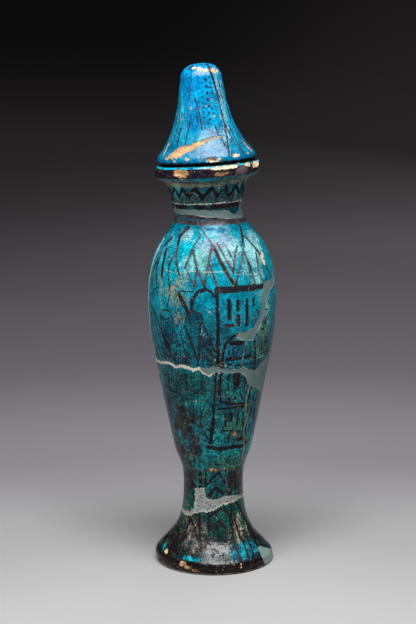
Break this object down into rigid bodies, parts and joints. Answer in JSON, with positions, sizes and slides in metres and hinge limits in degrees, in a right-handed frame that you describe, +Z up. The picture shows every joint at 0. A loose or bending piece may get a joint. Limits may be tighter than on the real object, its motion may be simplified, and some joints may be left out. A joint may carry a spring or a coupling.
{
  "type": "hes vase",
  "caption": "Tall blue-glazed faience libation vase with a spreading foot, narrow stem, high shoulder, short neck and a loose bell-shaped lid, painted, cracked and mended.",
  "frame": {"origin": "middle of the vase's footprint, on the surface it stands on", "axes": "+Z up along the body's axis, -Y towards the painted front, +X to the right as seen from the front"},
  "size_m": [0.0668, 0.0668, 0.2598],
  "materials": {
    "vase_glaze": "gloss",
    "lid_glaze": "gloss"
  },
  "bodies": {
    "root": {"vase": "vase_glaze", "lid": "lid_glaze"}
  },
  "joints": []
}
